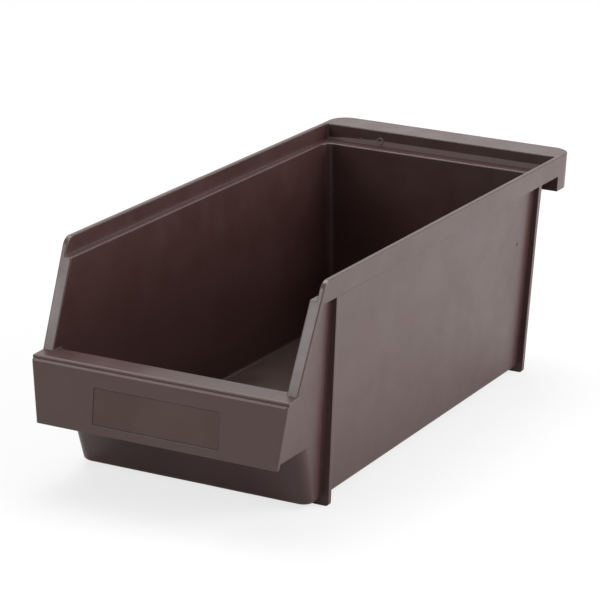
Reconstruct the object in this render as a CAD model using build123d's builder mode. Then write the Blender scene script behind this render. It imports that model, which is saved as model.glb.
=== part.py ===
"""Cutlery organizer bin: a one-piece moulded open-fronted bin and its blank label plate.

Millimetres. +Z up, +Y towards the hanging rail, the mouth and apron at -Y. The origin is the
middle of the bounding box on the plane that the four feet stand on.
"""
import os
from math import atan, cos, radians, sin, tan

from build123d import *

# Overall sizes
overall_length = 305.0
rim_width = 135.0
overall_height = 109.7

# Tub
wall = 2.5
floor_corner_radius = 6.0
rear_corner_radius = 7.0
lip_corner_radius = 6.5
tub_edge_radius = 2.5
floor_edge_radius = 1.5
side_ledge_width = 3.7
rear_ledge_width = 8.2
foot_height = 2.3
front_side_lean = 3.3
rear_side_lean = 6.1
rear_wall_lean = 3.4
front_wall_setback = 34.5
front_wall_angle = 19.9

# Rim band and the ledge inside it
band_thickness = 2.5
band_height = 10.2
ledge_drop = 8.2
rim_draft = 2.3
rim_edge_radius = 0.5
inner_edge_radius = 0.6
pocket_corner_radius = 1.0

# Hanging rail behind the rim
rail_depth = 17.8
rail_height = 18.1
rail_wall = 2.4
rail_leg_wall = 1.8
rail_core_draft = 1.0
rail_corner_radius = 10.0

# Mouth: the slanted side edges with their flanges, and the lip that they come down to
mouth_top_setback = 32.6
mouth_angle = 24.0
mouth_drop = 47.6
mouth_flange = 2.3
flange_root_radius = 2.0
mouth_top_radius = 6.0

# Apron: the grip that hangs in front of the tub
lip_fall_angle = 1.5
lip_step = 1.0
lip_step_height = 1.9
lip_edge_radius = 0.5
lip_end_radius = 1.0
apron_height = 31.5
apron_rake = 3.2
apron_wall = 2.4
apron_side_lean = 5.5
apron_overhang = 0.5
apron_corner_radius = 0.8
gusset_rise = 2.7
gusset_run = 15.4

# Fins that stiffen the side walls and run down as feet
fin_thickness = 2.6
fin_inset = 0.7
front_fin_setback = 45.3
rear_fin_setback = 36.9
front_fin_lean = 3.0
rear_fin_lean = 6.5
foot_reach = 8.0
foot_corner_radius = 1.5

# Label plate and its recess in the apron
label_width = 65.0
label_height = 17.4
label_thickness = 0.8
label_recess = 1.0
label_clearance = 0.15
label_corner_radius = 0.8
label_rise = 4.4

# Reach within which an edge counts as lying on a wall
near = 0.05

# Places worked out from the sizes
front = -overall_length / 2
rear = overall_length / 2
rim_half = rim_width / 2
draft = tan(radians(rim_draft))
ledge_z = overall_height - ledge_drop
band_foot_z = overall_height - band_height
rail_foot_z = overall_height - rail_height
floor_z = foot_height + wall
tub_half = rim_half - band_thickness - side_ledge_width + wall
rail_front = rear - rail_depth
tub_rear = rail_front - rear_ledge_width + wall
front_wall_slope = tan(radians(front_wall_angle))
front_wall_inset = wall / cos(radians(front_wall_angle))
mouth_top = front + mouth_top_setback
mouth_run = mouth_drop * tan(radians(mouth_angle))
mouth_foot_y = mouth_top - mouth_run
mouth_foot_z = overall_height - mouth_drop
mouth_flange_run = mouth_flange / cos(radians(mouth_angle))
flange_top_y = mouth_top - band_height * tan(radians(mouth_angle)) + mouth_flange_run
lip_front_y = front + apron_rake
lip_front_z = mouth_foot_z - (mouth_foot_y - lip_front_y) * tan(radians(lip_fall_angle))
shoulder_y = lip_front_y - lip_step
shoulder_z = lip_front_z - lip_step_height
apron_foot_z = lip_front_z - apron_height
apron_rake_slope = (shoulder_y - front) / (shoulder_z - apron_foot_z)
above_lip_z = mouth_foot_z + wall
mouth_run_on = mouth_top_setback / overall_length
gusset_top_y = mouth_foot_y + mouth_flange_run
gusset_top_z = mouth_foot_z + mouth_flange_run * tan(radians(lip_fall_angle))
gusset_foot_z = apron_foot_z + gusset_rise
apron_rake_angle = atan(apron_rake_slope)
label_rise_z = (label_rise + label_height / 2) * cos(apron_rake_angle)
label_rise_y = (label_rise + label_height / 2) * sin(apron_rake_angle)


def rim_outline(drop, inset):
    """Corners of the rim's plan at a drop below its top, moved in from the drafted outer faces."""
    half = rim_half - drop * draft - inset
    back = rear - drop * draft - inset
    return [(-half, front), (half, front), (half, back), (-half, back)]


def tub_outline(height, inset, front_inset, run_on):
    """Corners of the tub's plan at a height, moved in from its outer faces.

    The side walls run on past the front wall by a share of their own length.
    """
    fall = (ledge_z - height) / (ledge_z - foot_height)
    front_half = tub_half - front_side_lean * fall - inset
    rear_half = tub_half - rear_side_lean * fall - inset
    front_y = front + front_wall_setback - (height - foot_height) * front_wall_slope + front_inset
    rear_y = tub_rear - rear_wall_lean * fall - inset
    front_half += (front_half - rear_half) * run_on
    front_y += (front_y - rear_y) * run_on
    return [(-front_half, front_y), (front_half, front_y), (rear_half, rear_y), (-rear_half, rear_y)]


def corner_radius(height, top_radius, top_height):
    """Radius of a tub corner at a height, from the floor's radius to the radius at its top."""
    rise = min(1.0, (height - foot_height) / (top_height - foot_height))
    return floor_corner_radius + (top_radius - floor_corner_radius) * rise


def apron_front_view(inset):
    """Corners of the apron's front view, from below its foot to above the lip, its ends moved in."""
    foot_half = rim_half - apron_side_lean - inset
    slope = (apron_side_lean + apron_overhang - mouth_drop * draft) / (mouth_foot_z - apron_foot_z)
    top_half = foot_half + (above_lip_z - apron_foot_z) * slope
    below_half = foot_half - wall * slope
    below_z = apron_foot_z - wall
    return [
        (-below_half, below_z),
        (below_half, below_z),
        (top_half, above_lip_z),
        (-top_half, above_lip_z),
    ]


def is_inner_edge(edge):
    """Whether an edge above the lip faces the bin's inside, other than the root of the rim's wall."""
    middle = edge @ 0.5
    inside_rim = abs(middle.X) < rim_half - band_thickness + near and middle.Y < rail_front + near
    beside_tub = abs(middle.X) > tub_half - wall + near or middle.Y > tub_rear - wall + near
    on_ledge = abs(middle.Z - ledge_z) < near and middle.Y > mouth_top
    above_lip = middle.Z > mouth_foot_z + mouth_flange
    return inside_rim and above_lip and not (on_ledge and beside_tub)


# Hollow of the tub: closed in front up to the lip, and from there to the ledge open to the mouth
with BuildPart() as tub_hollow:
    for height in (floor_z, mouth_foot_z):
        with BuildSketch(Plane.XY.offset(height)) as section:
            Polygon(*tub_outline(height, wall, front_wall_inset, 0), align=None)
            corners = section.vertices().group_by(Axis.Y)
            fillet(corners[0], corner_radius(height, lip_corner_radius, mouth_foot_z) - wall)
            corners = section.vertices().group_by(Axis.Y)
            fillet(corners[-1], corner_radius(height, rear_corner_radius, ledge_z) - wall)
    loft(ruled=True)
    fillet(tub_hollow.faces().sort_by(Axis.Z)[0].edges(), floor_edge_radius)
    for height in (mouth_foot_z, ledge_z):
        with BuildSketch(Plane.XY.offset(height)) as section:
            Polygon(*tub_outline(height, wall, front_wall_inset, mouth_run_on), align=None)
            corners = section.vertices().group_by(Axis.Y)
            fillet(corners[-1], corner_radius(height, rear_corner_radius, ledge_z) - wall)
    loft(ruled=True)

# Pocket inside the rim band, above the ledge and open at the mouth
with BuildPart() as rim_pocket:
    with BuildSketch(Plane.XY.offset(ledge_z)) as section:
        pocket_half = rim_half - band_thickness - ledge_drop * draft
        with Locations((0, rail_front - ledge_drop * draft)):
            Rectangle(2 * pocket_half, 2 * overall_length, align=(Align.CENTER, Align.MAX))
        fillet(section.vertices().group_by(Axis.Y)[-1], pocket_corner_radius)
    extrude(amount=2 * ledge_drop, taper=-rim_draft)

# Hollow of the hanging rail, open below and widening downwards
with BuildPart() as rail_hollow:
    with BuildSketch(Plane.XY.offset(rail_foot_z)) as section:
        Polygon(*rim_outline(rail_height, rail_leg_wall), align=None)
        fillet(section.vertices().group_by(Axis.Y)[-1], rail_corner_radius - rail_leg_wall)
        with Locations((0, rail_front + rail_leg_wall)):
            Rectangle(
                rim_width, 2 * overall_length, align=(Align.CENTER, Align.MAX), mode=Mode.SUBTRACT
            )
    extrude(amount=rail_height - rail_wall, taper=rail_core_draft)

# Rim: what its side outline (band, mouth flanges and hanging rail) keeps of one drafted block
with BuildPart() as rim:
    with BuildSketch(Plane.XY.offset(mouth_foot_z)) as section:
        Polygon(*rim_outline(mouth_drop, 0), align=None)
        fillet(section.vertices().group_by(Axis.Y)[-1], rail_corner_radius - mouth_drop * draft)
    extrude(amount=mouth_drop, taper=-rim_draft)
    with BuildSketch(Plane.YZ) as section:
        with BuildLine():
            Polyline(
                (mouth_foot_y, mouth_foot_z),
                (gusset_top_y, mouth_foot_z),
                (flange_top_y, band_foot_z),
                (rail_front, band_foot_z),
                (rail_front, rail_foot_z),
                (rear + rail_depth, rail_foot_z),
                (rear + rail_depth, overall_height),
                (mouth_top, overall_height),
                close=True,
            )
        make_face()
        flange_root = section.vertices().sort_by_distance((flange_top_y, band_foot_z))[0]
        fillet(flange_root, flange_root_radius)
        mouth_corner = section.vertices().sort_by_distance((mouth_top, overall_height))[0]
        fillet(mouth_corner, mouth_top_radius)
    extrude(amount=rim_width, both=True, mode=Mode.INTERSECT)
    # The edges round the outside of its upward faces, without the one at the mouth's foot
    upward_edges = rim.faces().filter_by(lambda face: face.normal_at().Z > 0.3).edges()
    outer_edges = upward_edges.filter_by(
        lambda edge: (edge @ 0.5).Z > mouth_foot_z + mouth_flange
        and (abs((edge % 0.5).X) < 0.9 or (edge @ 0.5).Y > 0)
    )
    fillet(outer_edges, rim_edge_radius)

# Space ahead of the slanted mouth, above the lip and the step in front of the lip
with BuildPart() as mouth_cut:
    with BuildSketch(Plane.YZ):
        with BuildLine():
            Polyline(
                (front - overall_length, shoulder_z),
                (lip_front_y, shoulder_z),
                (lip_front_y, lip_front_z),
                (mouth_foot_y, mouth_foot_z),
                (mouth_top + mouth_run, overall_height + mouth_drop),
                (front - overall_length, overall_height + mouth_drop),
                close=True,
            )
        make_face()
    extrude(amount=rim_width, both=True)

# Open underside of the apron, up to the lip and back to the tub
with BuildPart() as apron_hollow:
    with BuildSketch(Plane.YZ):
        with BuildLine():
            Polyline(
                (front + apron_wall - wall * apron_rake_slope, apron_foot_z - wall),
                (shoulder_y + apron_wall, shoulder_z),
                (shoulder_y + apron_wall, lip_front_z - apron_wall),
                (mouth_foot_y, mouth_foot_z - apron_wall),
                (tub_rear, mouth_foot_z - apron_wall),
                (tub_rear, apron_foot_z - wall),
                close=True,
            )
        make_face()
    extrude(amount=rim_width, both=True)
    with BuildSketch(Plane.XZ):
        Polygon(*apron_front_view(apron_wall), align=None)
    extrude(amount=overall_length, both=True, mode=Mode.INTERSECT)

# Apron: its side outline with the end gussets, kept between the slanted ends of its front view
with BuildPart() as apron:
    with BuildSketch(Plane.YZ):
        with BuildLine():
            Polyline(
                (front, apron_foot_z),
                (shoulder_y, shoulder_z),
                (lip_front_y, shoulder_z),
                (lip_front_y, lip_front_z),
                (gusset_top_y, gusset_top_z),
                (gusset_top_y + gusset_run, gusset_foot_z),
                (front + apron_wall + gusset_rise * apron_rake_slope, gusset_foot_z),
                (front + apron_wall, apron_foot_z),
                close=True,
            )
        make_face()
    extrude(amount=rim_width, both=True)
    with BuildSketch(Plane.XZ):
        Polygon(*apron_front_view(0), align=None)
    extrude(amount=overall_length, both=True, mode=Mode.INTERSECT)
    upright_edges = apron.edges().filter_by(lambda edge: abs((edge % 0.5).Z) > 0.9)
    fillet(upright_edges.sort_by(Axis.Y)[:2], apron_corner_radius)
    add(apron_hollow.part, mode=Mode.SUBTRACT)
    # Rounded ends of the lip, which stand a little proud of the rim's flanks
    lip_ends = apron.edges().filter_by(
        lambda edge: abs((edge % 0.5).Y) > 0.9
        and (edge @ 0.5).Z > shoulder_z
        and abs((edge @ 0.5).X) > rim_half - apron_side_lean
    )
    fillet(lip_ends, lip_end_radius)
    # Rounded long edges in front: the lip's, the shoulder's and the foot's
    long_edges = apron.edges().filter_by(Axis.X).filter_by(lambda edge: (edge @ 0.5).Y < lip_front_y + near)
    lip_edge = long_edges.sort_by_distance((0, lip_front_y, lip_front_z))[0]
    shoulder_edge = long_edges.sort_by_distance((0, shoulder_y, shoulder_z))[0]
    foot_edge = long_edges.sort_by_distance((0, front, apron_foot_z))[0]
    fillet([lip_edge, shoulder_edge, foot_edge], lip_edge_radius)

with BuildPart() as bin_body:
    # Tub
    for height in (foot_height, mouth_foot_z, ledge_z):
        with BuildSketch(Plane.XY.offset(height)) as section:
            Polygon(*tub_outline(height, 0, 0, 0), align=None)
            corners = section.vertices().group_by(Axis.Y)
            fillet(corners[0], corner_radius(height, lip_corner_radius, mouth_foot_z))
            corners = section.vertices().group_by(Axis.Y)
            fillet(corners[-1], corner_radius(height, rear_corner_radius, ledge_z))
    loft(ruled=True)
    fillet(bin_body.faces().sort_by(Axis.Z)[0].edges(), tub_edge_radius)

    # Slanted cut through the front of the tub, down to the lip
    add(mouth_cut.part, mode=Mode.SUBTRACT)

    add(rim.part)
    add(apron.part)

    # Fins between the band and the floor; their ends below the floor are the feet
    for fin_rear, fin_lean in (
        (front + front_fin_setback + fin_thickness, front_fin_lean),
        (rear - rear_fin_setback, rear_fin_lean),
    ):
        foot_half = rim_half - fin_lean
        with BuildSketch(Plane.XZ.offset(-fin_rear)) as section:
            with BuildLine():
                Polyline(
                    (foot_half, 0),
                    (rim_half - fin_inset - band_height * draft, band_foot_z),
                    (rim_half - fin_inset - band_height * draft, ledge_z),
                    (tub_half - wall, ledge_z),
                    (foot_half - foot_reach, floor_z),
                    (foot_half - foot_reach, 0),
                    close=True,
                )
            make_face()
            feet = section.vertices().sort_by(Axis.Y)[:2].sort_by(Axis.X)
            fillet(feet[-1], foot_corner_radius)
            mirror(about=Plane.YZ)
        extrude(amount=fin_thickness)

    # Hollow of the tub and the pocket of the rim
    add(tub_hollow.part, mode=Mode.SUBTRACT)
    add(rim_pocket.part, mode=Mode.SUBTRACT)
    add(rail_hollow.part, mode=Mode.SUBTRACT)

    # Softened inner edges of the rim, the ledge and the slanted mouth
    upward_edges = bin_body.faces().filter_by(lambda face: face.normal_at().Z > 0.3).edges()
    fillet(upward_edges.filter_by(is_inner_edge), inner_edge_radius)

    # Recess for the label plate in the raked face of the apron
    label_plane = Plane(
        origin=(0, front + label_rise_y, apron_foot_z + label_rise_z),
        x_dir=(1, 0, 0),
        z_dir=(0, -cos(apron_rake_angle), sin(apron_rake_angle)),
    )
    with BuildSketch(label_plane):
        RectangleRounded(label_width, label_height, label_corner_radius)
    extrude(amount=-label_recess, mode=Mode.SUBTRACT)

# Label plate, seated on the floor of its recess
with BuildPart() as label_plate:
    with BuildSketch(label_plane.offset(-label_recess)):
        RectangleRounded(
            label_width - 2 * label_clearance,
            label_height - 2 * label_clearance,
            label_corner_radius - label_clearance,
        )
    extrude(amount=label_thickness)

bin_body.part.label = "bin_body"
label_plate.part.label = "label_plate"

os.makedirs("parts", exist_ok=True)
export_step(bin_body.part, "parts/bin_body.step")
export_step(label_plate.part, "parts/label_plate.step")
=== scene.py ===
"""Cutlery organizer bin: moulded finishes, small moulding marks, studio floor, light and camera.

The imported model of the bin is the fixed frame. Everything here is in metres, in that frame:
+Z up, the mouth and apron towards -Y, the hanging rail towards +Y.
"""
from math import cos, radians, sin

import bmesh
import bpy
from bpy.props import FloatProperty, FloatVectorProperty, PointerProperty
from mathutils import Matrix, Vector


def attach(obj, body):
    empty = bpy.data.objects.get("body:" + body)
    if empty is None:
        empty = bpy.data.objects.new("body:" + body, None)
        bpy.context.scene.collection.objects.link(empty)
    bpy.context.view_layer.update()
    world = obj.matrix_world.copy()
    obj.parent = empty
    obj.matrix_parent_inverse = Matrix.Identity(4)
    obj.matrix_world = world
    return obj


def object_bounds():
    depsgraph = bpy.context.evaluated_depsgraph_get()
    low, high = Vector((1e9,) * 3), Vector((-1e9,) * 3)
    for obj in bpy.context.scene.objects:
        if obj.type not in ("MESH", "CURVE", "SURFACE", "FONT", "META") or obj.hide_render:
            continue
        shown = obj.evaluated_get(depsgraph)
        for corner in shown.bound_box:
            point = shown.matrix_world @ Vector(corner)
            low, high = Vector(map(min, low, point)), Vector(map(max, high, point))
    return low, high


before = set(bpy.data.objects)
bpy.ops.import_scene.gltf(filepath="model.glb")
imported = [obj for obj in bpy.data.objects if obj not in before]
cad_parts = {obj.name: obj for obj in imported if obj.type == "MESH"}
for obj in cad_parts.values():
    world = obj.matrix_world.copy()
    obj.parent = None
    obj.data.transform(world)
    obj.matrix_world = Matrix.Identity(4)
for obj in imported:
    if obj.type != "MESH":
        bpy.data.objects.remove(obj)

bl_info = {
    "name": "Cutlery Organizer Bin",
    "version": (1, 0, 0),
    "blender": (4, 5, 0),
    "location": "View3D > Sidebar > Organizer Bin",
    "description": "Finishes a moulded cutlery organizer bin and sets it on a studio floor",
    "category": "Object",
}

BIN_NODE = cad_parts["bin_body"]
PLATE_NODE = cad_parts["label_plate"]
CAD_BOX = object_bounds()

# Moulded surface, in metres
CLOUD_SIZE = 0.035
SHEEN_PATCH_SIZE = 0.018
WAVE_SIZE = 0.03
WAVE_DEPTH = 0.00006
WEAR_AND_HIGHLIGHT_SIZE = 0.006
STREAK_SIZE = 0.004
SCUFF_AND_LIGHT_FADE = 0.0012

# How the plastic bends light, and how finely its softened edges are sampled
PLASTIC_IOR = 1.5
EDGE_SAMPLES = 6

# How finely round pieces are divided
BEAD_SIDES = 32
BEAD_RINGS = 11
CORD_SIDES = 10
RING_STEPS = 24

# Place of each mark on its face, and the way that face looks
GATE_PLACE = ((-0.0336, 0.13430, 0.1043), (0.0, -0.995, 0.1))
GATE_TAIL_PLACES = (
    ((-0.0326, 0.13433, 0.1033), (0.0, -0.994, 0.107)),
    ((-0.0324, 0.13426, 0.1026), (0.0, -0.994, 0.107)),
    ((-0.0325, 0.13418, 0.1019), (0.0, -0.994, 0.107)),
)
BAND_SPECK_PLACES = (
    ((-0.0446, 0.13441, 0.1042), (0.0, -0.999, 0.04)),
    ((-0.0424, 0.13442, 0.1034), (0.0, -0.999, 0.04)),
)
PIP_PLACE = ((0.06206, 0.09913, 0.07175), (0.998, 0.003, -0.06))
SIDE_SPECK_PLACES = (
    ((0.06193, -0.04708, 0.05814), (0.999, 0.004, -0.044)),
    ((0.06096, -0.06934, 0.03002), (0.999, 0.007, -0.038)),
    ((0.06083, -0.06539, 0.02744), (0.999, 0.009, -0.038)),
)

# Stage: place and width of each lamp, what all lamps look at, and the camera
LAMP_TARGET = (0.0, 0.0, 0.05)
FRONT_LAMP = ((-0.75, -1.35, 0.78), 0.6)
SIDE_LAMP = ((1.47, 0.6, 0.70), 1.2)
TOP_LAMP = ((-0.35, 0.4, 1.4), 1.0)
CAMERA_PLACE = (0.66466, -1.28216, 0.50535)
CAMERA_AZIMUTH = radians(27.693)
CAMERA_ELEVATION = radians(17.192)
CAMERA_ROLL = radians(1.1875)
CAMERA_LENS = 187.67
CAMERA_SENSOR = 36.0
CAMERA_REACH = 50.0

# Share of white that the floor and the backdrop show to reflected rays, and the floor to the camera
FLOOR_MIRRORED_WHITE = 0.15
BACKDROP_MIRRORED_WHITE = 1.0
FLOOR_SEEN_WHITE = 0.75


# ---------------------------------------------------------------- sizes and colours to change

def colour_property(name, description, default):
    """A colour without transparency, shown as a swatch."""
    return FloatVectorProperty(
        name=name, description=description, default=default,
        subtype="COLOR", size=3, min=0.0, max=1.0,
    )


def length_property(name, description, default):
    """A length in metres."""
    return FloatProperty(
        name=name, description=description, default=default,
        subtype="DISTANCE", unit="LENGTH", min=0.0, precision=5,
    )


def share_property(name, description, default):
    """A share from nought to one."""
    return FloatProperty(
        name=name, description=description, default=default, subtype="FACTOR", min=0.0, max=1.0,
    )


class BinPlasticSettings(bpy.types.PropertyGroup):
    """Colour and surface of the bin's plastic."""
    colour: colour_property("Colour", "Colour of the bin's plastic", (0.050, 0.0215, 0.0195))
    pale_colour: colour_property(
        "Pale Colour", "Colour where the pigment is thinner", (0.056, 0.026, 0.0235))
    # Lighter colour along the edges: partly rubbed wear, partly a painted highlight
    rub_and_highlight_colour: colour_property(
        "Rubbed Colour", "Colour of rubbed outer edges", (0.085, 0.048, 0.043))
    roughness: share_property("Roughness", "Roughness of the satin surface", 0.33)
    grain_size: length_property("Grain Size", "Width of one grain of the mould's texture", 0.0006)
    grain_depth: length_property("Grain Depth", "Depth of the mould's texture", 0.000015)
    edge_width: length_property("Edge Width", "Width of the rubbed band along an edge", 0.0005)
    # Lighter colour of the inner floor: partly scuff streaks, partly painted light falling on it
    scuff_and_light_colour: colour_property(
        "Scuffed Colour", "Colour of the inner floor, where cutlery slides", (0.068, 0.044, 0.0405))
    scuff_and_light_height: length_property(
        "Scuff Height", "Height up to which the inner floor is scuffed", 0.0078)


class PlatePlasticSettings(bpy.types.PropertyGroup):
    """Colour and surface of the blank label plate."""
    colour: colour_property("Colour", "Colour of the blank label plate", (0.046, 0.0205, 0.015))
    pale_colour: colour_property(
        "Pale Colour", "Colour where the pigment is thinner", (0.051, 0.0245, 0.018))
    roughness: share_property("Roughness", "Roughness of the dull surface", 0.62)
    grain_size: length_property("Grain Size", "Width of one grain of the plate's texture", 0.0004)
    grain_depth: length_property("Grain Depth", "Depth of the plate's texture", 0.00002)


class LipBeadSettings(bpy.types.PropertyGroup):
    """The rounded beads that run along the lip's edge and its shoulder."""
    edge_radius: length_property("Edge Radius", "Radius of the upper bead", 0.00055)
    shoulder_radius: length_property("Shoulder Radius", "Radius of the lower bead", 0.00075)
    length: length_property("Length", "Length of a bead from end to end", 0.1306)
    edge_setback: length_property(
        "Edge Setback", "Distance of the upper bead's middle behind the bin's front", 0.00364)
    edge_height: length_property(
        "Edge Height", "Height of the upper bead's middle above the floor", 0.06146)
    shoulder_setback: length_property(
        "Shoulder Setback", "Distance of the lower bead's middle behind the bin's front", 0.00283)
    shoulder_height: length_property(
        "Shoulder Height", "Height of the lower bead's middle above the floor", 0.05943)


class RearFilletSettings(bpy.types.PropertyGroup):
    """The slope between the rear ledge and the band above it, lower in the left corner."""
    height: length_property("Height", "Height to which the slope climbs the band", 0.0028)
    depth: length_property("Depth", "Depth of the slope on the ledge", 0.0003)
    half_length: length_property(
        "Half Length", "Half of the slope's length, with its ends in the side bands", 0.0652)
    run_out: length_property(
        "Run Out", "Length over which it gets lower towards the left corner", 0.03)
    run_out_share: share_property(
        "Run Out Share", "Share of the height left in the left corner", 0.53)
    band: length_property(
        "Band Place", "Distance of the band's inner face behind the middle", 0.13444)
    ledge: length_property("Ledge Height", "Height of the ledge above the floor", 0.1015)
    root: length_property("Root", "Depth to which the slope runs into the wall", 0.0005)


class MouldingMarkSettings(bpy.types.PropertyGroup):
    """The small marks that moulding left on the bin."""
    gate_radius: length_property("Gate Radius", "Radius of the gate ring on the rear band", 0.0014)
    pip_radius: length_property("Pip Radius", "Radius of the ring mark on the right side", 0.00085)
    cord: length_property("Cord", "Thickness of both rings, from middle to skin", 0.0004)
    speck_radius: length_property("Speck Radius", "Radius of one raised speck", 0.0004)
    speck_height: length_property("Speck Height", "Height of one raised speck", 0.00012)


class StageSettings(bpy.types.PropertyGroup):
    """Floor, backdrop and lamps."""
    floor_colour: colour_property("Floor Colour", "Colour of the pale floor", (0.86, 0.86, 0.86))
    floor_width: length_property("Floor Width", "Width of the square floor", 8.0)
    ambient: FloatProperty(
        name="Ambient Strength", description="Strength of the light from all round",
        default=0.27, min=0.0)
    front_power: FloatProperty(
        name="Front Lamp Power", description="Power of the soft lamp in front, on the left",
        default=7.6, min=0.0, subtype="POWER", unit="POWER")
    side_power: FloatProperty(
        name="Side Lamp Power", description="Power of the soft lamp on the right",
        default=30.5, min=0.0, subtype="POWER", unit="POWER")
    top_power: FloatProperty(
        name="Top Lamp Power", description="Power of the soft lamp overhead",
        default=19.0, min=0.0, subtype="POWER", unit="POWER")


# ---------------------------------------------------------------- materials

def add_node(tree, kind, place, **settings):
    """A node of that kind, with its plain settings and named inputs filled in."""
    node = tree.nodes.new(kind)
    node.location = place
    for name, value in settings.items():
        if hasattr(node, name):
            setattr(node, name, value)
        else:
            node.inputs[name.replace("_", " ").title()].default_value = value
    return node


def noise(tree, coordinates, place, size, detail=2.0, roughness=0.5, stretch=(1.0, 1.0, 1.0)):
    """Soft noise whose blobs are about as wide as size, in metres."""
    mapping = add_node(tree, "ShaderNodeMapping", (place[0] - 200, place[1]))
    mapping.inputs["Scale"].default_value = stretch
    tree.links.new(coordinates, mapping.inputs["Vector"])
    texture = add_node(
        tree, "ShaderNodeTexNoise", place, Scale=1.0 / size, Detail=detail, Roughness=roughness)
    tree.links.new(mapping.outputs["Vector"], texture.inputs["Vector"])
    return texture.outputs["Fac"]


def map_range(tree, value, place, low, high, new_low, new_high):
    """The value carried from one range to another, and held at its ends."""
    node = add_node(
        tree, "ShaderNodeMapRange", place,
        From_Min=low, From_Max=high, To_Min=new_low, To_Max=new_high)
    tree.links.new(value, node.inputs["Value"])
    return node.outputs["Result"]


def mix_colours(tree, share, place, first, second):
    """First colour where the share is nought, second where it is one."""
    node = add_node(tree, "ShaderNodeMix", place, data_type="RGBA")
    tree.links.new(share, node.inputs["Factor"])
    for socket, colour in ((node.inputs[6], first), (node.inputs[7], second)):
        if isinstance(colour, bpy.types.NodeSocket):
            tree.links.new(colour, socket)
        else:
            socket.default_value = (*colour, 1.0)
    return node.outputs[2]


def bump(tree, height, place, depth, normal=None):
    """A bumped normal, with the height's full range as deep as depth."""
    node = add_node(tree, "ShaderNodeBump", place, Strength=1.0, Distance=depth)
    tree.links.new(height, node.inputs["Height"])
    if normal is not None:
        tree.links.new(normal, node.inputs["Normal"])
    return node.outputs["Normal"]


def rounded_normal(tree, place, radius):
    """The surface's normal with every edge softened to that radius."""
    node = add_node(tree, "ShaderNodeBevel", place, samples=EDGE_SAMPLES, Radius=radius)
    return node.outputs["Normal"]


def edge_mask(tree, rounded, place):
    """One along the edges that the rounded normal softens and nought on flat faces."""
    x, y = place
    geometry = add_node(tree, "ShaderNodeNewGeometry", (x, y - 150))
    likeness = add_node(tree, "ShaderNodeVectorMath", (x + 200, y), operation="DOT_PRODUCT")
    tree.links.new(rounded, likeness.inputs[0])
    tree.links.new(geometry.outputs["Normal"], likeness.inputs[1])
    return map_range(tree, likeness.outputs["Value"], (x + 400, y), 0.995, 0.90, 0.0, 1.0)


def combine(tree, operation, first, second, place):
    """The first value joined to the second, a value or a plain number, by a math operation."""
    node = add_node(tree, "ShaderNodeMath", place, operation=operation)
    tree.links.new(first, node.inputs[0])
    if isinstance(second, bpy.types.NodeSocket):
        tree.links.new(second, node.inputs[1])
    else:
        node.inputs[1].default_value = second
    return node.outputs["Value"]


def scuff_and_light_mask(tree, coordinates, place, height):
    """One on the up-facing inner floor below that height, streaked along the bin, where scuffs and
    painted light make the floor lighter.
    """
    x, y = place
    split = add_node(tree, "ShaderNodeSeparateXYZ", place)
    tree.links.new(coordinates, split.inputs["Vector"])
    low = map_range(tree, split.outputs["Z"], (x + 200, y), height, height - SCUFF_AND_LIGHT_FADE, 0.0, 1.0)
    geometry = add_node(tree, "ShaderNodeNewGeometry", (x, y - 150))
    facing = add_node(tree, "ShaderNodeSeparateXYZ", (x + 200, y - 150))
    tree.links.new(geometry.outputs["Normal"], facing.inputs["Vector"])
    upward = map_range(tree, facing.outputs["Z"], (x + 400, y - 150), 0.6, 0.95, 0.0, 1.0)
    streaks = noise(
        tree, coordinates, (x, y - 350), STREAK_SIZE, detail=4.0, roughness=0.65,
        stretch=(1.0, 0.2, 1.0))
    streak_share = map_range(tree, streaks, (x + 300, y - 350), 0.3, 0.7, 0.6, 1.0)
    floor = combine(tree, "MULTIPLY", low, upward, (x + 600, y))
    return combine(tree, "MULTIPLY", floor, streak_share, (x + 800, y))


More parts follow.
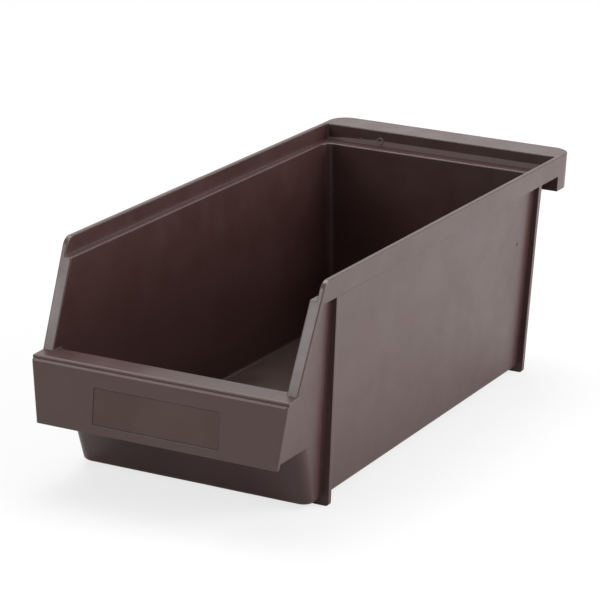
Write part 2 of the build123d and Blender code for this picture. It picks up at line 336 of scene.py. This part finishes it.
def moulded_plastic(name, settings, handled_with_painted_light=False):
    """Moulded plastic: fine grain, slow waves of the mould and clouded pigment.

    Handled plastic also has softened edges, painted lighter along them as rubbed wear with a
    painted highlight, and an inner floor painted lighter with scuff streaks and painted light.
    """
    material = bpy.data.materials.new(name)
    material.use_nodes = True
    tree = material.node_tree
    tree.nodes.clear()
    output = add_node(tree, "ShaderNodeOutputMaterial", (900, 0))
    shader = add_node(tree, "ShaderNodeBsdfPrincipled", (600, 0))
    tree.links.new(shader.outputs["BSDF"], output.inputs["Surface"])
    coordinates = add_node(tree, "ShaderNodeTexCoord", (-1200, 0)).outputs["Object"]

    # Pigment clouds, with a fine speckle over them
    clouds = noise(
        tree, coordinates, (-800, 300), CLOUD_SIZE, detail=3.0, stretch=(1.0, 0.5, 1.0))
    cloud_share = map_range(tree, clouds, (-500, 300), 0.35, 0.65, 0.0, 1.0)
    colour = mix_colours(tree, cloud_share, (-200, 300), settings.colour, settings.pale_colour)
    speckle = noise(tree, coordinates, (-800, 100), settings.grain_size * 2, detail=1.0)
    speckle_share = map_range(tree, speckle, (-500, 100), 0.55, 0.8, 0.0, 0.5)
    colour = mix_colours(tree, speckle_share, (0, 300), colour, settings.pale_colour)

    # Satin sheen that varies from patch to patch
    patches = noise(
        tree, coordinates, (-800, -100), SHEEN_PATCH_SIZE, detail=4.0, roughness=0.6)
    roughness = map_range(
        tree, patches, (-500, -100), 0.3, 0.7, settings.roughness - 0.05, settings.roughness + 0.07)

    rounded = None
    if handled_with_painted_light:
        rounded = rounded_normal(tree, (-800, 650), settings.edge_width)
        edges = edge_mask(tree, rounded, (-600, 650))
        # Edges painted lighter: partly rubbed wear, partly a painted highlight on the rounded edges
        wear_and_highlight_noise = noise(tree, coordinates, (-800, 850), WEAR_AND_HIGHLIGHT_SIZE, detail=3.0)
        wear_and_highlight_share = map_range(tree, wear_and_highlight_noise, (-500, 850), 0.35, 0.75, 0.15, 0.8)
        rubbed_and_highlight = combine(tree, "MULTIPLY", edges, wear_and_highlight_share, (100, 700))
        colour = mix_colours(tree, rubbed_and_highlight, (300, 400), colour, settings.rub_and_highlight_colour)
        # Inner floor painted lighter: partly scuff streaks, partly painted light from above
        scuffs_and_light = scuff_and_light_mask(tree, coordinates, (-1000, 1200), settings.scuff_and_light_height)
        colour = mix_colours(tree, scuffs_and_light, (450, 400), colour, settings.scuff_and_light_colour)

    tree.links.new(colour, shader.inputs["Base Color"])
    tree.links.new(roughness, shader.inputs["Roughness"])
    shader.inputs["IOR"].default_value = PLASTIC_IOR

    # Mould texture over the slow waves that a cooling wall keeps
    waves = noise(
        tree, coordinates, (-800, -350), WAVE_SIZE, detail=1.0, stretch=(1.0, 0.6, 1.0))
    waved = bump(tree, waves, (-300, -350), WAVE_DEPTH, rounded)
    grain = noise(tree, coordinates, (-800, -550), settings.grain_size, detail=2.0, roughness=0.6)
    grained = bump(tree, grain, (0, -450), settings.grain_depth, waved)
    tree.links.new(grained, shader.inputs["Normal"])
    return material


def ride_on_bin(name, shape, smooth=True):
    """A piece of the bin's own plastic that rides on the bin, made from a finished shape."""
    bmesh.ops.recalc_face_normals(shape, faces=shape.faces)
    for face in shape.faces:
        face.smooth = smooth
    mesh = bpy.data.meshes.new(name)
    shape.to_mesh(mesh)
    shape.free()
    piece = bpy.data.objects.new(name, mesh)
    bpy.context.scene.collection.objects.link(piece)
    piece.data.materials.append(bpy.data.materials["bin_plastic"])
    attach(piece, "root")


def set_on_face(shape, verts, place, outward):
    """Turn new vertices from +Z to the outward direction and move them to a place on that face."""
    turn = Vector(outward).to_track_quat("Z", "Y").to_matrix().to_4x4()
    bmesh.ops.transform(shape, matrix=Matrix.Translation(place) @ turn, verts=verts)


def add_ring(shape, radius, cord, place, outward):
    """A raised ring that lies on a face, half sunk in it."""
    old = set(shape.verts)
    upright = Matrix.Translation((radius, 0.0, 0.0)) @ Matrix.Rotation(radians(90.0), 4, "X")
    start = bmesh.ops.create_circle(
        shape, cap_ends=False, segments=CORD_SIDES, radius=cord, matrix=upright)
    edges = {edge for vert in start["verts"] for edge in vert.link_edges}
    bmesh.ops.spin(
        shape, geom=[*start["verts"], *edges], cent=(0.0, 0.0, 0.0), axis=(0.0, 0.0, 1.0),
        angle=radians(360.0), steps=RING_STEPS, use_merge=True)
    set_on_face(shape, [vert for vert in shape.verts if vert not in old], place, outward)


def add_speck(shape, radius, height, place, outward):
    """A raised speck on a face, half sunk in it."""
    flat = Matrix.Diagonal((radius, radius, height, 1.0))
    speck = bmesh.ops.create_icosphere(shape, subdivisions=2, radius=1.0, matrix=flat)
    set_on_face(shape, speck["verts"], place, outward)


def set_only_material(piece, material):
    """The piece wears this one material."""
    if not piece.data.materials:
        piece.data.materials.append(material)
    for index in range(len(piece.data.materials)):
        piece.data.materials[index] = material


# ---------------------------------------------------------------- pieces

class BIN_OT_finish_body(bpy.types.Operator):
    """Give the bin body its moulded plastic"""
    bl_idname = "bin.finish_body"
    bl_label = "Finish Bin Body"

    def execute(self, context):
        material = moulded_plastic("bin_plastic", context.scene.bin_plastic, handled_with_painted_light=True)
        set_only_material(BIN_NODE, material)
        return {"FINISHED"}


class BIN_OT_finish_plate(bpy.types.Operator):
    """Give the blank label plate its dull plastic"""
    bl_idname = "bin.finish_plate"
    bl_label = "Finish Label Plate"

    def execute(self, context):
        material = moulded_plastic("label_plastic", context.scene.plate_plastic)
        set_only_material(PLATE_NODE, material)
        return {"FINISHED"}


class BIN_OT_add_lip_beads(bpy.types.Operator):
    """Add the rounded beads along the lip's edge and shoulder"""
    bl_idname = "bin.add_lip_beads"
    bl_label = "Add Lip Beads"

    def execute(self, context):
        settings = context.scene.bin_lip_beads
        front = CAD_BOX[0][1]
        along = Matrix.Rotation(radians(90.0), 4, "Y")
        shape = bmesh.new()
        for radius, setback, height in (
                (settings.edge_radius, settings.edge_setback, settings.edge_height),
                (settings.shoulder_radius, settings.shoulder_setback, settings.shoulder_height)):
            reach = settings.length / 2 - radius
            bead = bmesh.ops.create_uvsphere(
                shape, u_segments=BEAD_SIDES, v_segments=BEAD_RINGS, radius=radius,
                matrix=along)["verts"]
            for side in (-1.0, 1.0):
                half = [vert for vert in bead if vert.co.x * side > 0.0]
                bmesh.ops.translate(shape, vec=(side * reach, 0.0, 0.0), verts=half)
            bmesh.ops.translate(shape, vec=(0.0, front + setback, height), verts=bead)
        ride_on_bin("lip_beads", shape)
        return {"FINISHED"}


class BIN_OT_add_rear_fillet(bpy.types.Operator):
    """Add the slope between the rear ledge and its band"""
    bl_idname = "bin.add_rear_fillet"
    bl_label = "Add Rear Fillet"

    def execute(self, context):
        settings = context.scene.bin_rear_fillet
        left = settings.run_out - settings.half_length
        back, low = settings.band + settings.root, settings.ledge - settings.root
        front, high = settings.band - settings.depth, settings.ledge + settings.height
        shape = bmesh.new()
        section = shape.faces.new([shape.verts.new((left, y, z)) for y, z in (
            (back, high), (settings.band, high), (front, settings.ledge), (front, low),
            (back, low))])

        # Full height to the right, then the same section made lower to the left
        run = bmesh.ops.extrude_face_region(shape, geom=[section], use_keep_orig=True)
        far = [item for item in run["geom"] if isinstance(item, bmesh.types.BMVert)]
        bmesh.ops.translate(shape, vec=(settings.half_length - left, 0.0, 0.0), verts=far)
        run = bmesh.ops.extrude_face_region(shape, geom=[section])
        bmesh.ops.delete(shape, geom=[section], context="FACES_ONLY")
        near = [item for item in run["geom"] if isinstance(item, bmesh.types.BMVert)]
        bmesh.ops.scale(
            shape, vec=(1.0, 1.0, settings.run_out_share),
            space=Matrix.Translation((-left, -back, -low)), verts=near)
        bmesh.ops.translate(shape, vec=(-settings.run_out, 0.0, 0.0), verts=near)
        ride_on_bin("rear_fillet", shape, smooth=False)
        return {"FINISHED"}


class BIN_OT_add_moulding_marks(bpy.types.Operator):
    """Add the gate ring on the rear band, and the ring mark and specks on the right side"""
    bl_idname = "bin.add_moulding_marks"
    bl_label = "Add Moulding Marks"

    def execute(self, context):
        settings = context.scene.bin_moulding_marks
        gate = bmesh.new()
        add_ring(gate, settings.gate_radius, settings.cord, *GATE_PLACE)
        for place in GATE_TAIL_PLACES:
            add_speck(gate, settings.speck_radius, settings.speck_radius, *place)
        for place in BAND_SPECK_PLACES:
            add_speck(gate, settings.speck_radius, settings.speck_height, *place)
        ride_on_bin("gate_mark", gate)
        side = bmesh.new()
        add_ring(side, settings.pip_radius, settings.cord, *PIP_PLACE)
        for place in SIDE_SPECK_PLACES:
            add_speck(side, settings.speck_radius, settings.speck_height, *place)
        ride_on_bin("side_marks", side)
        return {"FINISHED"}


# ---------------------------------------------------------------- stage

def seen_white(tree, place, mirrored):
    """One for the camera's own rays, a share for mirrored and transmitted ones, else nought."""
    x, y = place
    path = add_node(tree, "ShaderNodeLightPath", place).outputs
    turned = combine(
        tree, "MAXIMUM", path["Is Glossy Ray"], path["Is Transmission Ray"], (x + 200, y))
    shared = combine(tree, "MULTIPLY", turned, mirrored, (x + 380, y))
    return combine(tree, "MAXIMUM", path["Is Camera Ray"], shared, (x + 560, y))


def floor_material(settings):
    """Pale matt floor that looks nearly white and keeps the object's shadow."""
    material = bpy.data.materials.new("stage_floor")
    material.use_nodes = True
    tree = material.node_tree
    tree.nodes.clear()
    output = add_node(tree, "ShaderNodeOutputMaterial", (600, 0))
    matt = add_node(tree, "ShaderNodeBsdfDiffuse", (0, 100))
    matt.inputs["Color"].default_value = (*settings.floor_colour, 1.0)
    white = add_node(tree, "ShaderNodeEmission", (0, -100), Strength=1.0)
    seen = seen_white(tree, (-1000, -300), FLOOR_MIRRORED_WHITE)
    share = map_range(tree, seen, (-200, -300), 0.0, 1.0, 0.0, FLOOR_SEEN_WHITE)
    mixed = add_node(tree, "ShaderNodeMixShader", (300, 0))
    tree.links.new(share, mixed.inputs["Fac"])
    tree.links.new(matt.outputs["BSDF"], mixed.inputs[1])
    tree.links.new(white.outputs["Emission"], mixed.inputs[2])
    tree.links.new(mixed.outputs["Shader"], output.inputs["Surface"])
    return material


def backdrop_world(ambient):
    """White backdrop for the camera and reflections, and a plain soft light from all round."""
    world = bpy.data.worlds.new("studio")
    world.use_nodes = True
    tree = world.node_tree
    tree.nodes.clear()
    output = add_node(tree, "ShaderNodeOutputWorld", (600, 0))
    light = add_node(tree, "ShaderNodeBackground", (0, 100), Strength=ambient)
    light.inputs["Color"].default_value = (1.0, 1.0, 1.0, 1.0)
    white = add_node(tree, "ShaderNodeBackground", (0, -100), Strength=1.0)
    white.inputs["Color"].default_value = (1.0, 1.0, 1.0, 1.0)
    mixed = add_node(tree, "ShaderNodeMixShader", (300, 0))
    seen = seen_white(tree, (-800, -300), BACKDROP_MIRRORED_WHITE)
    tree.links.new(seen, mixed.inputs["Fac"])
    tree.links.new(light.outputs["Background"], mixed.inputs[1])
    tree.links.new(white.outputs["Background"], mixed.inputs[2])
    tree.links.new(mixed.outputs["Shader"], output.inputs["Surface"])
    return world


def soft_lamp(name, place, width, power):
    """A square area lamp at a place, turned to the bin."""
    lamp = bpy.data.lights.new(name, "AREA")
    lamp.shape = "SQUARE"
    lamp.size = width
    lamp.energy = power
    piece = bpy.data.objects.new(name, lamp)
    piece.location = place
    aim = Vector(LAMP_TARGET) - Vector(place)
    piece.rotation_euler = aim.to_track_quat("-Z", "Y").to_euler()
    bpy.context.scene.collection.objects.link(piece)


def aimed_camera():
    """The camera, looking along its azimuth from +Y and down by its elevation, then rolled."""
    flat = cos(CAMERA_ELEVATION)
    view = Vector((
        -sin(CAMERA_AZIMUTH) * flat, cos(CAMERA_AZIMUTH) * flat, -sin(CAMERA_ELEVATION)))
    level = Vector((cos(CAMERA_AZIMUTH), sin(CAMERA_AZIMUTH), 0.0))
    upright = level.cross(view)
    right = level * cos(CAMERA_ROLL) + upright * sin(CAMERA_ROLL)
    up = upright * cos(CAMERA_ROLL) - level * sin(CAMERA_ROLL)
    camera = bpy.data.cameras.new("camera")
    camera.lens = CAMERA_LENS
    camera.sensor_width = CAMERA_SENSOR
    camera.clip_end = CAMERA_REACH
    piece = bpy.data.objects.new("camera", camera)
    turn = Matrix((right, up, -view)).transposed()
    piece.matrix_world = Matrix.Translation(CAMERA_PLACE) @ turn.to_4x4()
    bpy.context.scene.collection.objects.link(piece)
    bpy.context.scene.camera = piece


class BIN_OT_set_stage(bpy.types.Operator):
    """Lay the pale floor, light it softly and aim the camera"""
    bl_idname = "bin.set_stage"
    bl_label = "Set Stage"

    def execute(self, context):
        settings = context.scene.bin_stage
        mesh = bpy.data.meshes.new("floor")
        shape = bmesh.new()
        bmesh.ops.create_grid(shape, x_segments=1, y_segments=1, size=settings.floor_width / 2)
        shape.to_mesh(mesh)
        shape.free()
        floor = bpy.data.objects.new("floor", mesh)
        context.scene.collection.objects.link(floor)
        floor.data.materials.append(floor_material(settings))

        context.scene.world = backdrop_world(settings.ambient)
        soft_lamp("front_lamp", *FRONT_LAMP, settings.front_power)
        soft_lamp("side_lamp", *SIDE_LAMP, settings.side_power)
        soft_lamp("top_lamp", *TOP_LAMP, settings.top_power)
        aimed_camera()
        context.scene.view_settings.view_transform = "Standard"
        return {"FINISHED"}


class BIN_PT_panel(bpy.types.Panel):
    """Sizes and colours of the bin, with the steps that build its looks"""
    bl_idname = "BIN_PT_panel"
    bl_label = "Organizer Bin"
    bl_space_type = "VIEW_3D"
    bl_region_type = "UI"
    bl_category = "Organizer Bin"

    def draw(self, context):
        for operator, holder in STEPS:
            box = self.layout.box()
            box.operator(operator.bl_idname)
            group = getattr(context.scene, holder)
            for name in group.bl_rna.properties.keys():
                if name not in ("rna_type", "name"):
                    box.prop(group, name)


GROUPS = (
    ("bin_plastic", BinPlasticSettings),
    ("plate_plastic", PlatePlasticSettings),
    ("bin_lip_beads", LipBeadSettings),
    ("bin_rear_fillet", RearFilletSettings),
    ("bin_moulding_marks", MouldingMarkSettings),
    ("bin_stage", StageSettings),
)
STEPS = (
    (BIN_OT_finish_body, "bin_plastic"),
    (BIN_OT_finish_plate, "plate_plastic"),
    (BIN_OT_add_lip_beads, "bin_lip_beads"),
    (BIN_OT_add_rear_fillet, "bin_rear_fillet"),
    (BIN_OT_add_moulding_marks, "bin_moulding_marks"),
    (BIN_OT_set_stage, "bin_stage"),
)
OPERATORS = tuple(operator for operator, holder in STEPS)


def register():
    for holder, group in GROUPS:
        bpy.utils.register_class(group)
        setattr(bpy.types.Scene, holder, PointerProperty(type=group))
    for operator in OPERATORS:
        bpy.utils.register_class(operator)
    bpy.utils.register_class(BIN_PT_panel)


def unregister():
    bpy.utils.unregister_class(BIN_PT_panel)
    for operator in reversed(OPERATORS):
        bpy.utils.unregister_class(operator)
    for holder, group in reversed(GROUPS):
        delattr(bpy.types.Scene, holder)
        bpy.utils.unregister_class(group)


def main():
    register()
    bpy.ops.bin.finish_body()
    bpy.ops.bin.finish_plate()
    bpy.ops.bin.add_lip_beads()
    bpy.ops.bin.add_rear_fillet()
    bpy.ops.bin.add_moulding_marks()
    bpy.ops.bin.set_stage()


if __name__ == "__main__":
    main()
